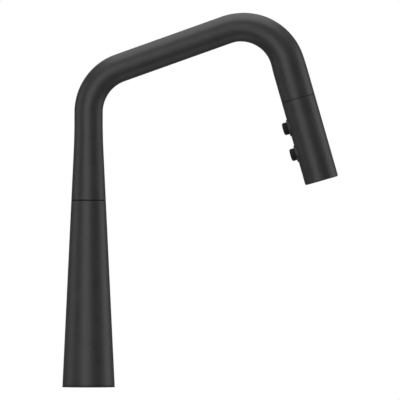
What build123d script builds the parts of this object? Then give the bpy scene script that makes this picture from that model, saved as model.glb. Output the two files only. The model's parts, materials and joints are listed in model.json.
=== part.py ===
from build123d import *
from math import asin, cos, pi, radians, sin, tan
import os

# Pull down kitchen faucet, in millimetres. +Z is up from the deck, +X is the way the spout reaches,
# +Y is the handle's side. The origin is the centre of the base, on the deck.

os.makedirs("parts", exist_ok=True)

# ---- Driving dimensions -------------------------------------------------------------------------

# the tapering column: a lower shell that stands still and an upper cone that turns with the spout
base_radius = 27.7  # of the column's cone at the deck
cone_top_height = 266.0  # where the cone, drawn on, would come down to the tube's radius
cone_blend_radius = 665.0  # soft arc that carries the cone into the tube
column_riser = 24.1  # from there up to the first bend
shell_wall = 2.0
split_height = 197.4  # middle of the turning joint
split_gap = 1.2  # filled by the swivel washer
edge_round = 0.3

# the base
gasket_proud = 0.3  # beyond the column's foot
gasket_height = 1.5
gasket_land = 4.0
base_thickness = 12.0
shank_thread_radius = 16.2  # M34 x 1.5, minor radius
post_radius = 2.75  # of the two posts under the valve
base_screw_radius = 2.0
base_screw_head = 3.1
base_screw_sink = 0.2  # of the head below the base's underside
valve_screw_radius = 1.5
valve_screw_head = 2.6
screw_depth = 8.0  # of a screw in its post

# the spout
tube_radius = 15.0
tube_wall = 1.5
bend_radius = 49.8  # of both bends, on the centreline
rise_angle = 19.65  # of the arm, above level
arm_length = 119.2  # straight run between the bends
leg_lean = 16.0  # of the leg and spray head, from plumb
leg_radius = 18.0
leg_length = 40.6  # from the second bend to the seam with the spray head
flare_start = 6.0  # where the tube begins to grow, along the centreline from the second bend's start
flare_length = 90.0
flare_ease = 12.0  # length over which the growth comes in and dies away

# the spray head
seam_gap = 0.65
head_length = 90.5
head_wall = 2.0
head_end_round = 1.2
button_radius = 6.6
button_proud = 6.6  # of the button's face, beyond the head
button_crown_radius = 38.0
button_round = 1.8
button_travel = 1.8
upper_button_at = 27.1  # below the seam
button_pitch = 28.4
bezel_radius = 9.0
bezel_proud = 0.95
bezel_depth = 6.35

# the pull down hose
hose_radius = 6.5
hose_bore = 4.0
hose_play = 1.5  # round the hose where it passes the valve
hose_room = 1.4  # between the hose and the tube, on the inside of the first bend
hose_shank_lane = -7.6  # y of the hose where it leaves through the shank
hose_low_end = 16.0

# the valve
valve_drop = 34.0  # from the handle's axis to the valve's underside
valve_crown = 5.8  # metal above the cartridge's sleeve
valve_inset = 1.35  # from the shell's bore, at the valve's top
valve_front = 16.2
valve_flange = 5.0
port_thread_radius = 4.46  # M10 x 1, minor radius
port_depth = 10.0
inlet_spread = 6.3  # x of the inlet ports
inlet_line = 1.4  # y of the inlet ports
outlet_line = 11.0  # y of the outlet port
passage_radius = 2.6
passage_wall = 1.2  # metal between the inlets and the hose's way
outlet_passage_radius = 2.2
cross_drop = 20.0  # from the handle's axis to the drilling that joins the outlet's passages

# the cartridge and the handle, whose axis runs along +Y
handle_height = 92.0
cartridge_radius = 12.5
cartridge_floor = 5.0
sleeve_wall = 1.65
disc_face = 10.5  # y where the two ceramic discs meet
pivot_reach = 25.5  # y of the lever's pivot
ball_arm = 9.0  # from the pivot to the spindle's ball
lever_tilt = 25.0  # degrees, full flow
bonnet_wall = 1.9
dome_rise = 1.8  # of the hub's hollow, centred on the pivot, over the bonnet's radius
dome_gap = 0.4  # between the bonnet's dome and the hub
dome_wall = 1.5
hub_wall = 1.4  # beyond the bonnet's radius
hub_depth = 26.5  # from the pivot to the hub's outer face
lever_setback = 5.0  # of the lever rod from that face
lever_length = 95.0  # from the handle's axis to the rod's tip
lever_root_radius = 4.6
lever_tip_radius = 4.0

# clearances
turning_gap = 0.05  # radial, shafts and bushes
sliding_gap = 0.1  # radial, plungers and buttons
seat_gap = 0.05  # radial, between round pieces that are fixed together
face_gap = 0.1  # between flat faces that pass each other or nearly touch
loose_gap = 0.3

cone_slope = (base_radius - tube_radius) / cone_top_height  # radius lost per millimetre of height
first_bend_height = cone_top_height + column_riser
gasket_radius = base_radius + gasket_proud
sleeve_radius = cartridge_radius + seat_gap + sleeve_wall
bonnet_radius = sleeve_radius + 2 * seat_gap + bonnet_wall
hub_sphere = bonnet_radius + dome_rise
hub_radius = bonnet_radius + hub_wall
hub_end = pivot_reach + hub_depth
lever_line = hub_end - lever_setback


# ---- Helpers ------------------------------------------------------------------------------------


def cone_radius(height):
    """Outer radius of the column's cone at a height."""
    return base_radius - cone_slope * height


def bore_radius(height):
    """Inner radius of the lower shell at a height."""
    return cone_radius(height) - shell_wall


def rod(radius, low, high, x=0.0, y=0.0):
    """A cylinder along Z."""
    bottom = (Align.CENTER, Align.CENTER, Align.MIN)
    return Pos(x, y, low) * Cylinder(radius, high - low, align=bottom)


def ring(inner, outer, low, high, x=0.0, y=0.0):
    """A flat ended tube along Z."""
    return rod(outer, low, high, x, y) - rod(inner, low, high, x, y)


def block(x_low, x_high, y_low, y_high, z_low, z_high):
    """A box given by its limits."""
    low = (Align.MIN, Align.MIN, Align.MIN)
    return Pos(x_low, y_low, z_low) * Box(x_high - x_low, y_high - y_low, z_high - z_low, align=low)


def cross_rod(radius, x_low, x_high, z, y=0.0):
    """A cylinder along X."""
    start = Plane(origin=(x_low, y, z), x_dir=(0, 1, 0), z_dir=(1, 0, 0))
    return start.location * rod(radius, 0, x_high - x_low)


def turned(*corners):
    """A solid turned about Z from its (radius, height) corners."""
    outline = Plane.XZ * make_face(Polyline(*corners, close=True))
    return revolve(outline, Axis.Z)


def bead(centre_radius, section_radius, height):
    """An O-ring about Z."""
    return Pos(0, 0, height) * Torus(centre_radius, section_radius)


def around(count, radius, start=0.0):
    """Evenly spaced (x, y) places on a circle."""
    turns = [radians(start + 360.0 * i / count) for i in range(count)]
    return [(radius * cos(a), radius * sin(a)) for a in turns]


def group(solids):
    """Separate solids that share one node."""
    return Compound(children=list(solids))


def cap_screw(radius, head_radius, head_height, tip, seat):
    """A screw along Z with its head above its seat, and a driving hole in the head."""
    top = seat + head_height
    screw = rod(radius, tip, seat) + rod(head_radius, seat, top)
    return screw - rod(head_radius / 2, seat + head_height / 2, top)


# ---- Frames of reference ------------------------------------------------------------------------

# the handle's frame: its Z runs out along the valve's axis, its X runs up
handle_frame = Plane(origin=(0, 0, handle_height), x_dir=(0, 0, 1), z_dir=(0, 1, 0)).location

rise = radians(rise_angle)
lean = radians(leg_lean)
arm_start = Vector(
    bend_radius * (1 - sin(rise)),
    0,
    first_bend_height + bend_radius * cos(rise),
)
arm_end = arm_start + Vector(cos(rise), 0, sin(rise)) * arm_length
second_centre = arm_end + Vector(sin(rise), 0, -cos(rise)) * bend_radius
leg_start = second_centre + Vector(cos(lean), 0, sin(lean)) * bend_radius
leg_direction = Vector(sin(lean), 0, -cos(lean))
button_direction = Vector(-cos(lean), 0, -sin(lean))
second_turn = rise + pi / 2 - lean

# the leg's frame: its Z runs down the leg from the second bend, its X points at the buttons
leg_frame = Plane(origin=leg_start, x_dir=button_direction, z_dir=leg_direction).location
# the head's frame is the leg's, moved to the seam
head_frame = Plane(
    origin=leg_start + leg_direction * leg_length,
    x_dir=button_direction,
    z_dir=leg_direction,
).location


# ---- The base -----------------------------------------------------------------------------------

shell_top = split_height - split_gap / 2
spout_bottom = split_height + split_gap / 2
gasket_bore = gasket_radius - gasket_land
valve_low = handle_height - valve_drop
valve_high = handle_height + sleeve_radius + valve_crown
flange_top = valve_low + valve_flange
post_place = bore_radius(flange_top) - loose_gap - post_radius  # x of the two support posts


def base_gasket():
    """Dark ring that seals the base to the deck, a little wider than the column."""
    body = ring(gasket_bore, gasket_radius, 0, gasket_height)
    outer = body.edges().filter_by(GeomType.CIRCLE).sort_by(SortBy.RADIUS)[-2:]
    return fillet(outer, edge_round)


def mounting_base():
    """Brass plug in the foot of the shell, threaded for the hollow shank that goes through the deck."""
    body = turned(
        (shank_thread_radius, 0),
        (gasket_bore - seat_gap, 0),
        (gasket_bore - seat_gap, gasket_height),
        (bore_radius(gasket_height) - seat_gap, gasket_height),
        (bore_radius(base_thickness) - seat_gap, base_thickness),
        (shank_thread_radius, base_thickness),
    )
    for x in (-post_place, post_place):
        body -= rod(base_screw_radius + seat_gap, 0, base_thickness, x)
        mouth = base_screw_head + 2 * base_screw_sink
        body -= Pos(x, 0, 0) * turned((0, 0), (mouth, 0), (0, mouth))
    return body


def base_screws():
    """Two countersunk screws that hold the support posts to the mounting base."""
    tip = base_thickness + screw_depth
    screw = turned(
        (0, base_screw_sink),
        (base_screw_head, base_screw_sink),
        (base_screw_radius, base_screw_sink + base_screw_head - base_screw_radius),
        (base_screw_radius, tip),
        (0, tip),
    )
    screw -= rod(base_screw_head / 2.5, base_screw_sink, base_screw_sink + base_screw_head / 2.5)
    return group(Pos(x, 0, 0) * screw for x in (-post_place, post_place))


def support_posts():
    """Two posts that carry the valve above the mounting base and leave room for the supply hoses."""
    post = rod(post_radius, base_thickness, valve_low)
    post -= rod(base_screw_radius + seat_gap, base_thickness, base_thickness + screw_depth + 1)
    post -= rod(valve_screw_radius + seat_gap, valve_low - screw_depth - 1, valve_low)
    return group(Pos(x, 0, 0) * post for x in (-post_place, post_place))


def valve_screws():
    """Two screws that hold the valve body down on the support posts."""
    screw = cap_screw(valve_screw_radius, valve_screw_head, 2.5, valve_low - screw_depth, flange_top)
    return group(Pos(x, 0, 0) * screw for x in (-post_place, post_place))


def body_shell():
    """The lower cone that is seen, with the round hole that the handle's bonnet comes through."""
    body = turned(
        (bore_radius(gasket_height), gasket_height),
        (cone_radius(gasket_height), gasket_height),
        (cone_radius(shell_top), shell_top),
        (bore_radius(shell_top), shell_top),
    )
    top_rim = body.edges().filter_by(GeomType.CIRCLE).sort_by(Axis.Z)[-2:].sort_by(SortBy.RADIUS)[-1]
    body = fillet(top_rim, edge_round)
    window = bonnet_radius + 3 * seat_gap
    return body - handle_frame * rod(window, 0, 2 * base_radius)


# ---- The valve ----------------------------------------------------------------------------------

valve_radius = bore_radius(valve_high) - valve_inset
valve_flat = post_place - valve_screw_head - loose_gap  # half width across the valve's side flats
sleeve_start = cartridge_floor + 4.0
# places on the fixed disc, in the handle's frame: X up, Y towards the spout's side
inlet_hole = 1.6
outlet_hole = 2.0
inlet_places = [(2.0, -4.2), (2.0, 4.2)]
outlet_place = (-5.0, 0.0)
seal_wall = 0.9
cross_height = handle_height - cross_drop
hose_way = hose_radius + hose_play
hose_way_lane = inlet_line - passage_radius - passage_wall - hose_way  # y
hose_lane = hose_way_lane - 0.6  # y of the hose where it passes the valve

# the bell of the swivel post, which stands on the valve
bell_height = 38.0
bell_lid = 6.0
bell_wall = 3.0
bell_floor = 4.0
bell_top = valve_high + bell_height
bell_radius = bore_radius(bell_top + bell_lid) - loose_gap
post_screw_radius = 1.5
post_screw_head = 2.75
post_screw_depth = 8.0
post_screw_circle = bell_radius - bell_wall - post_screw_head - loose_gap
post_screw_turns = [radians(angle) for angle in (-20, 31, 149, 200)]
post_screw_places = [(post_screw_circle * cos(a), post_screw_circle * sin(a)) for a in post_screw_turns]


def valve_body():
    """Brass body with the two inlets and the mixed outlet underneath, and the cartridge's pocket."""
    body = rod(valve_radius, valve_low, valve_high)
    body &= block(-valve_flat, valve_flat, -valve_radius, valve_front, valve_low, valve_high)
    body += rod(bore_radius(flange_top) - loose_gap, valve_low, flange_top)
    # way for the pull down hose, behind the cartridge
    body -= rod(hose_way, valve_low, valve_high, 0, hose_way_lane)
    body -= block(-hose_way, hose_way, -2 * valve_radius, hose_way_lane, valve_low, valve_high)
    # the cartridge's pocket
    body -= handle_frame * rod(cartridge_radius + seat_gap, cartridge_floor, 2 * valve_radius)
    body -= handle_frame * rod(sleeve_radius + seat_gap, sleeve_start, 2 * valve_radius)
    # inlets: threaded port, riser and the hole in the pocket's floor
    for up, across in inlet_places:
        side = inlet_spread if across > 0 else -inlet_spread
        body -= rod(port_thread_radius, valve_low, valve_low + port_depth, side, inlet_line)
        body -= rod(passage_radius, valve_low, handle_height + up + 2, side, inlet_line)
        body -= handle_frame * rod(inlet_hole, inlet_line, cartridge_floor, up, across)
    # outlet: hole in the floor, riser, cross drilling and threaded port
    up, across = outlet_place
    body -= handle_frame * rod(outlet_hole, inlet_line, cartridge_floor, up, across)
    riser_top = handle_height + up + outlet_hole
    body -= rod(outlet_passage_radius, cross_height, riser_top, 0, inlet_line)
    cross = Plane(origin=(0, inlet_line, cross_height), x_dir=(1, 0, 0), z_dir=(0, 1, 0)).location
    body -= cross * rod(outlet_passage_radius, 0, outlet_line - inlet_line)
    body -= rod(outlet_passage_radius, valve_low, cross_height, 0, outlet_line)
    body -= rod(port_thread_radius, valve_low, valve_low + port_depth, 0, outlet_line)
    for x in (-post_place, post_place):
        body -= rod(valve_screw_radius + seat_gap, valve_low, flange_top, x)
    for x, y in post_screw_places:
        body -= rod(post_screw_radius + seat_gap, valve_high - post_screw_depth, valve_high, x, y)
    return body


def cartridge_sleeve():
    """Threaded sleeve, screwed into the valve body through the shell's window."""
    bore = cartridge_radius + seat_gap
    return handle_frame * ring(bore, sleeve_radius, sleeve_start, sleeve_end)


# ---- The cartridge ------------------------------------------------------------------------------

disc_thickness = 3.0
moving_disc_thickness = 2.5
moving_disc_radius = 7.0
disc_hollow_depth = 1.2
driver_height = 5.0
driver_flat = 5.5  # half width across the driver's flats
housing_wall = 1.3
housing_lip = 2.2
spindle_radius = 3.0
spindle_neck = 1.6
spindle_shoulder = 3.5  # from the pivot down to where the spindle narrows
ball_radius = 2.4
ball_play = 0.25
pin_radius = 1.5
grip_flat = 2.2  # from the spindle's axis to its flat
nut_lip = 1.7
nut_height = 4.6
nut_slot = 1.5

housing_bore = cartridge_radius - housing_wall
fixed_disc_back = disc_face - disc_thickness
driver_low = disc_face + moving_disc_thickness
driver_top = driver_low + driver_height
carrier_low = driver_top + 4 * face_gap
carrier_high = pivot_reach + pin_radius + 4 * face_gap
housing_top = carrier_high + 0.8
sleeve_end = housing_top + nut_height
ball_place = pivot_reach - ball_arm


def inlet_seals():
    """Three rubber rings that seal the cartridge's ports to the pocket's floor."""
    seals = [
        ring(inlet_hole, inlet_hole + seal_wall, cartridge_floor, fixed_disc_back, up, across)
        for up, across in inlet_places
    ]
    up, across = outlet_place
    outlet = ring(outlet_hole, outlet_hole + seal_wall, cartridge_floor, fixed_disc_back, up, across)
    return group(handle_frame * seal for seal in [*seals, outlet])


def cartridge_base():
    """Plastic foot of the cartridge, which holds the three seals."""
    body = rod(cartridge_radius - seat_gap, cartridge_floor + face_gap, fixed_disc_back)
    for up, across in inlet_places:
        body -= rod(inlet_hole + seal_wall + seat_gap, cartridge_floor, fixed_disc_back, up, across)
    up, across = outlet_place
    body -= rod(outlet_hole + seal_wall + seat_gap, cartridge_floor, fixed_disc_back, up, across)
    return handle_frame * body


def fixed_disc():
    """Ceramic disc with the ports for hot, cold and mixed water."""
    body = rod(housing_bore - seat_gap, fixed_disc_back, disc_face)
    for up, across in inlet_places:
        body -= rod(inlet_hole, fixed_disc_back, disc_face, up, across)
    up, across = outlet_place
    body -= rod(outlet_hole, fixed_disc_back, disc_face, up, across)
    return handle_frame * body


def moving_disc():
    """Ceramic disc whose hollow joins the ports once the lever slides it up."""
    body = rod(moving_disc_radius, disc_face, driver_low)
    hollow_top = disc_face + disc_hollow_depth
    # a bar under the two inlet holes and a stem down to the outlet's
    body -= block(-3.4, -0.4, -5.2, 5.2, disc_face, hollow_top)
    body -= block(-6.4, -1.0, -2.0, 2.0, disc_face, hollow_top)
    return handle_frame * body


def disc_driver():
    """Plastic saddle on the moving disc, with the socket for the spindle's ball."""
    body = rod(moving_disc_radius, driver_low, driver_top)
    body &= block(-moving_disc_radius, moving_disc_radius, -driver_flat, driver_flat, 0, driver_top)
    socket = ball_radius + ball_play
    return handle_frame * (body - rod(socket, ball_place - socket, driver_top))


def cartridge_housing():
    """Plastic barrel of the cartridge, with a lip that keeps the carrier in."""
    body = ring(housing_bore, cartridge_radius, fixed_disc_back, housing_top)
    body += ring(housing_bore - housing_lip, cartridge_radius, carrier_high + face_gap, housing_top)
    return handle_frame * body


def cartridge_nut():
    """Brass ring nut that clamps the cartridge down in its sleeve."""
    body = ring(housing_bore - nut_lip, cartridge_radius, housing_top, sleeve_end)
    slots = block(-nut_slot, nut_slot, -sleeve_radius, sleeve_radius, sleeve_end - nut_slot, sleeve_end)
    return handle_frame * (body - slots - Rot(0, 0, 90) * slots)


def carrier():
    """Turning carrier of the cartridge: it holds the pivot pin, and its cheeks turn the driver."""
    radius = housing_bore - sliding_gap
    body = rod(radius, carrier_low, carrier_high)
    cheeks = rod(radius, driver_low + 2 * face_gap, carrier_low)
    inside = driver_flat + sliding_gap
    cheeks -= block(-radius, radius, -inside, inside, 0, carrier_low)
    body += cheeks
    # slot that lets the spindle tilt
    tilt = radians(lever_tilt)
    low_side = spindle_radius / cos(tilt) + (carrier_high - pivot_reach) * tan(tilt) + loose_gap
    high_side = ball_arm * sin(tilt) + ball_radius + loose_gap
    half_width = spindle_radius + 2 * sliding_gap
    body -= block(-low_side, high_side, -half_width, half_width, carrier_low, carrier_high)
    return handle_frame * (body - pivot_rod(pin_radius + seat_gap / 2, radius))


def pivot_rod(radius, half_length):
    """A cylinder along the lever's pivot, in the handle's frame."""
    start = Plane(origin=(0, -half_length, pivot_reach), x_dir=(1, 0, 0), z_dir=(0, 1, 0)).location
    return start * rod(radius, 0, 2 * half_length)


def pivot_pin():
    """Steel pin that the lever's spindle tilts on."""
    return handle_frame * pivot_rod(pin_radius, housing_bore - 1.2)


# ---- The handle ---------------------------------------------------------------------------------

hub_rim = 7.8  # of the hub's open edge, outward from the pivot
hub_round = 1.6
hub_skin = 1.6  # between the spindle's end and the hub's face
dome_radius = hub_sphere - dome_gap
dome_margin = 12.0  # degrees of opening past the spindle's tilt
dome_window = dome_radius * sin(radians(lever_tilt + dome_margin))
grip_start = pivot_reach + hub_sphere - 1.0
grip_end = hub_end - hub_skin
set_screw_radius = 2.0
set_screw_length = 8.0
set_screw_hex = 1.0
plug_radius = 3.2
plug_thickness = 2.4
spigot_radius = 3.3
spigot_depth = 6.0
tip_flat = 0.8


def pivot_ball(radius):
    """A sphere about the lever's pivot, in the handle's frame."""
    return Pos(0, 0, pivot_reach) * Sphere(radius)


def dome_arc(radius, from_side, to_side):
    """Arc of a dome's outline about the pivot, between two distances from the handle's axis."""
    angles = [asin(from_side / radius), asin(to_side / radius)]
    angles.insert(1, sum(angles) / 2)
    return ThreePointArc(*[(radius * sin(a), pivot_reach + radius * cos(a)) for a in angles])


def bonnet():
    """Fixed cover over the cartridge, with a dome about the lever's pivot that the hub slides over."""
    start = valve_front + loose_gap
    bore = sleeve_radius + 2 * seat_gap
    outer = dome_arc(dome_radius, bonnet_radius, dome_window)
    inner = dome_arc(dome_radius - dome_wall, dome_window, bore)
    foot = Polyline(inner @ 1, (bore, start), (bonnet_radius, start), outer @ 0)
    lip = Line(outer @ 1, inner @ 0)
    outline = Plane.XZ * make_face([foot, outer, lip, inner])
    return handle_frame * revolve(outline, Axis.Z)


def spindle():
    """Steel spindle: ball in the driver, cross hole for the pivot pin, flatted grip in the hub."""
    body = rod(spindle_neck, ball_place, pivot_reach)
    body += Pos(0, 0, ball_place) * Sphere(ball_radius)
    body += rod(spindle_radius, pivot_reach - spindle_shoulder, grip_end)
    body -= block(-spindle_radius, -grip_flat, -spindle_radius, spindle_radius, grip_start, grip_end)
    return handle_frame * (body - pivot_rod(pin_radius + turning_gap, spindle_radius))


def handle_hub():
    """Cap over the bonnet that carries the lever rod."""
    body = rod(hub_radius, pivot_reach + hub_rim, hub_end)
    end_rim = body.edges().filter_by(GeomType.CIRCLE).sort_by(Axis.Z)[-1]
    body = fillet(end_rim, hub_round)
    body -= pivot_ball(hub_sphere)
    grip_bore = spindle_radius + seat_gap
    grip = rod(grip_bore, pivot_reach, grip_end + seat_gap)
    grip -= block(-grip_bore, -grip_flat - seat_gap, -grip_bore, grip_bore, pivot_reach, hub_end)
    body -= grip
    body -= cross_rod(set_screw_radius + seat_gap, -hub_radius, 0, lever_line)
    body -= cross_rod(plug_radius + seat_gap, -2 * hub_radius, plug_thickness - hub_radius, lever_line)
    body -= cross_rod(spigot_radius + seat_gap, hub_radius - spigot_depth, 2 * hub_radius, lever_line)
    return handle_frame * body


def lever_rod():
    """Slim rod that stands up beside the column while the water is shut off."""
    spigot = cross_rod(spigot_radius, hub_radius - spigot_depth, hub_radius + 2, lever_line)
    root = (0, lever_root_radius)
    tip = (lever_length, lever_tip_radius)
    shaft = revolve(make_face(Polyline((0, 0), root, tip, (lever_length, 0), close=True)), Axis.X)
    tip_rim = shaft.edges().filter_by(GeomType.CIRCLE).sort_by(Axis.X)[-1]
    shaft = Pos(0, 0, lever_line) * fillet(tip_rim, lever_tip_radius - tip_flat)
    return handle_frame * (shaft - rod(hub_radius + seat_gap, 0, 2 * hub_end) + spigot)


def set_screw():
    """Grub screw that grips the spindle's flat."""
    start = -grip_flat - set_screw_length
    body = cross_rod(set_screw_radius, start, -grip_flat - face_gap, lever_line)
    return handle_frame * (body - cross_rod(set_screw_hex, start, start + 2 * set_screw_hex, lever_line))


def screw_plug():
    """Small cap that hides the set screw."""
    outer_face = loose_gap - hub_radius
    return handle_frame * cross_rod(plug_radius, outer_face, plug_thickness - hub_radius, lever_line)


# ---- The swivel ---------------------------------------------------------------------------------

pillar_play = 2.8  # round the hose
pillar_wall = 2.2
pillar_rise = 39.0  # above the turning joint
collar_height = 10.0
snap_rise = 33.4  # of the snap ring's groove, above the turning joint
snap_thickness = 1.4
snap_groove_depth = 1.0
snap_reach = 1.5  # of the snap ring beyond the pillar
snap_mouth = 3.0
friction_rise = 17.0
friction_groove_width = 4.0
friction_groove_depth = 0.6
bush_inset = 1.0  # of the lower bush from the spout's mouth
bush_margin = 2.0  # between the bushes and the friction ring's groove
washer_inset = 0.2  # from the cone's surface
guide_depth = 10.0
guide_rise = 1.5
guide_mouth = 2.0  # of the funnels at its two ends

pillar_bore = hose_radius + pillar_play
pillar_radius = pillar_bore + pillar_wall
pillar_top = split_height + pillar_rise
socket_bore = tube_radius - 2 * seat_gap
socket_top = pillar_top + 2.0
snap_groove = split_height + snap_rise
friction_groove = split_height + friction_rise
friction_floor = pillar_radius - friction_groove_depth
friction_section = (socket_bore - loose_gap - friction_floor - seat_gap) / 2


def swivel_post():
    """Casting on the valve that locates the shell's top and carries the turning spout."""
    bell_end = bell_top + bell_lid
    body = rod(bell_radius, valve_high, bell_end)
    body -= rod(bell_radius - bell_wall, valve_high + bell_floor, bell_top)
    body += rod(pillar_radius, bell_top, pillar_top)
    collar_low = shell_top - collar_height
    body += turned(
        (0, collar_low),
        (bore_radius(collar_low) - 2 * seat_gap, collar_low),
        (bore_radius(shell_top) - 2 * seat_gap, shell_top),
        (0, shell_top),
    )
    body -= rod(pillar_bore, bell_top, pillar_top)
    # the bell is open towards -Y, where the hose comes in
    body -= block(-hose_way, hose_way, -2 * bell_radius, 0, valve_high, bell_top)
    body -= rod(hose_way, valve_high, bell_top, 0, hose_way_lane)
    for x, y in post_screw_places:
        body -= rod(post_screw_radius + seat_gap, valve_high, valve_high + bell_floor, x, y)
    groove_end = snap_groove + snap_thickness + 2 * face_gap
    body -= ring(pillar_radius - snap_groove_depth, 2 * pillar_radius, snap_groove, groove_end)
    groove_end = friction_groove + friction_groove_width
    return body - ring(friction_floor, 2 * pillar_radius, friction_groove, groove_end)


def post_screws():
    """Four screws that hold the swivel post to the valve body."""
    tip = valve_high - post_screw_depth + 0.5
    screw = cap_screw(post_screw_radius, post_screw_head, 3.0, tip, valve_high + bell_floor)
    return group(Pos(x, y, 0) * screw for x, y in post_screw_places)


def swivel_washer():
    """Dark bearing washer seen as the line between the lower shell and the turning cone."""
    outer = cone_radius(split_height) - washer_inset
    return ring(pillar_radius + 2 * seat_gap, outer, shell_top, spout_bottom - turning_gap)


def spout_friction_ring():
    """Rubber ring that keeps the spout where it is turned to."""
    centre = friction_floor + seat_gap + friction_section
    return bead(centre, friction_section, friction_groove + friction_groove_width / 2)


def snap_ring():
    """Split steel ring that stops the spout lifting off the post."""
    low = snap_groove + face_gap
    high = low + snap_thickness
    body = ring(pillar_radius - snap_groove_depth + seat_gap, pillar_radius + snap_reach, low, high)
    return body - block(0, 2 * pillar_radius, -snap_mouth / 2, snap_mouth / 2, low, high)


def hose_guide():
    """Plastic bush in the top of the post that the hose slides through."""
    bore = hose_radius + 2 * loose_gap
    low = pillar_top - guide_depth
    high = pillar_top + guide_rise
    outer = pillar_bore - seat_gap
    flange = pillar_radius - snap_groove_depth / 2
    return turned(
        (bore, low + guide_mouth),
        (outer, low),
        (outer, pillar_top),
        (flange, pillar_top),
        (flange, high),
        (bore + guide_mouth, high),
        (bore, high - guide_mouth),
    )


def swivel_bush(low, high):
    """Plastic bush pressed into the spout, running on the post."""
    return ring(pillar_radius + turning_gap, socket_bore - seat_gap, low, high)


def lower_swivel_bush():
    """The bush in the spout's mouth."""
    return swivel_bush(spout_bottom + bush_inset, friction_groove - bush_margin)


def upper_swivel_bush():
    """The bush under the snap ring, which takes the spout's lift."""
    low = friction_groove + friction_groove_width + bush_margin
    return swivel_bush(low, snap_groove - face_gap)


# ---- The spout ----------------------------------------------------------------------------------

bend_run = bend_radius * second_turn  # centreline length of the second bend
flare_stations = 10
socket_shoulder = 3.0  # height of the slope above the swivel's socket


def flare_radius(distance):
    """Outer radius of the flaring tube, at a distance along the centreline from the flare's start."""
    slope = (leg_radius - tube_radius) / (flare_length - flare_ease)
    rest = flare_length - distance
    if distance < flare_ease:
        return tube_radius + slope * distance**2 / (2 * flare_ease)
    if rest < flare_ease:
        return leg_radius - slope * rest**2 / (2 * flare_ease)
    return tube_radius + slope * (distance - flare_ease / 2)


def spout_station(distance):
    """Plane square to the centreline, at a distance along it from the second bend's start."""
    if distance > bend_run:
        ahead = distance - bend_run
        return Plane(origin=leg_start + leg_direction * ahead, x_dir=(0, 1, 0), z_dir=leg_direction)
    turn = rise - distance / bend_radius
    spoke = Vector(-sin(turn), 0, cos(turn))
    return Plane(
        origin=second_centre + spoke * bend_radius,
        x_dir=(0, 1, 0),
        z_dir=Vector(cos(turn), 0, sin(turn)),
    )


def steady_run(radius):
    """The stretch of one diameter: first bend, arm and the start of the second bend."""
    foot = Vector(0, 0, first_bend_height)
    first_centre = foot + Vector(bend_radius, 0, 0)
    halfway = (pi / 2 - rise) / 2
    crown = first_centre + Vector(-cos(halfway), 0, sin(halfway)) * bend_radius
    first_bend = ThreePointArc(foot, crown, arm_start)
    arm = Line(arm_start, arm_end)
    lead_in = ThreePointArc(
        arm_end, spout_station(flare_start / 2).origin, spout_station(flare_start).origin
    )
    section = Plane(origin=foot, z_dir=(0, 0, 1)) * Circle(radius)
    return sweep(section, path=Wire([first_bend, arm, lead_in]))


def flare(inset):
    """The growing stretch, round the rest of the second bend and a little way down the leg."""
    sections = []
    for i in range(flare_stations + 1):
        distance = flare_length * i / flare_stations
        sections.append(spout_station(flare_start + distance) * Circle(flare_radius(distance) - inset))
    bend = ThreePointArc(
        spout_station(flare_start).origin,
        spout_station((flare_start + bend_run) / 2).origin,
        leg_start,
    )
    tail = Line(leg_start, spout_station(flare_start + flare_length).origin)
    return sweep(sections, path=Wire([bend, tail]), multisection=True)


def leg_end(radius):
    """The straight end of the leg, down to the seam."""
    start = flare_start + flare_length - bend_run
    return leg_frame * rod(radius, start, leg_length - seam_gap / 2)


def spout_tube():
    """One hollow piece: turning cone, tube, both bends and the leg that the spray head docks in."""
    foot = FilletPolyline(
        (cone_radius(spout_bottom), spout_bottom),
        (tube_radius, cone_top_height),
        (tube_radius, first_bend_height),
        radius=cone_blend_radius,
    )
    closing = Polyline(
        (tube_radius, first_bend_height),
        (0, first_bend_height),
        (0, spout_bottom),
        (cone_radius(spout_bottom), spout_bottom),
    )
    column = revolve(Plane.XZ * make_face([foot, closing]), Axis.Z)
    outside = column + steady_run(tube_radius) + flare(0) + leg_end(leg_radius)
    bore = tube_radius - tube_wall
    inside = turned(
        (0, spout_bottom),
        (socket_bore, spout_bottom),
        (socket_bore, socket_top),
        (bore, socket_top + socket_shoulder),
        (bore, first_bend_height),
        (0, first_bend_height),
    )
    inside += steady_run(bore) + flare(tube_wall) + leg_end(leg_radius - tube_wall)
    return outside - inside


# ---- The dock -----------------------------------------------------------------------------------

# heights in the head's frame, which are negative above the seam
sleeve_top = -24.6
magnet_top = -23.6
magnet_low = -19.1
web_low = -18.1
sleeve_low = -0.5
dock_wall = 1.5
dock_lead = 1.5  # height of the funnel in the dock's mouth
magnet_play = 3.9  # round the hose
leg_bore = leg_radius - tube_wall
dock_bore = leg_bore - seat_gap - dock_wall
magnet_bore = hose_radius + magnet_play


def dock_sleeve():
    """Plastic sleeve in the end of the leg that the spray head's neck slides into."""
    outside = leg_bore - seat_gap
    return head_frame * turned(
        (dock_bore, sleeve_top),
        (outside, sleeve_top),
        (outside, sleeve_low),
        (dock_bore + dock_wall / 2.5, sleeve_low),
        (dock_bore, sleeve_low - dock_lead),
        (dock_bore, web_low),
        (magnet_bore, web_low),
        (magnet_bore, magnet_low),
        (dock_bore, magnet_low),
    )


def dock_magnet():
    """Ring magnet that holds the docked spray head."""
    return head_frame * ring(magnet_bore, dock_bore - seat_gap, magnet_top, magnet_low)


# ---- The hose -----------------------------------------------------------------------------------

hose_joint = split_height  # where the hose passes from the fixed column into the turning spout
hose_leg_start = 6.0  # below the second bend
hose_end = -18.0  # in the head's frame
corner_room = tube_radius - tube_wall - hose_radius - hose_room


def hose_tube(points, radii):
    """A stretch of hose along straight runs joined by tangent arcs."""
    path = FilletPolyline(*points, radius=radii)
    start = Plane(origin=points[0], z_dir=Vector(*points[1]) - Vector(*points[0]))
    outside = sweep(start * Circle(hose_radius), path=path)
    return outside - sweep(start * Circle(hose_bore), path=path)


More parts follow.
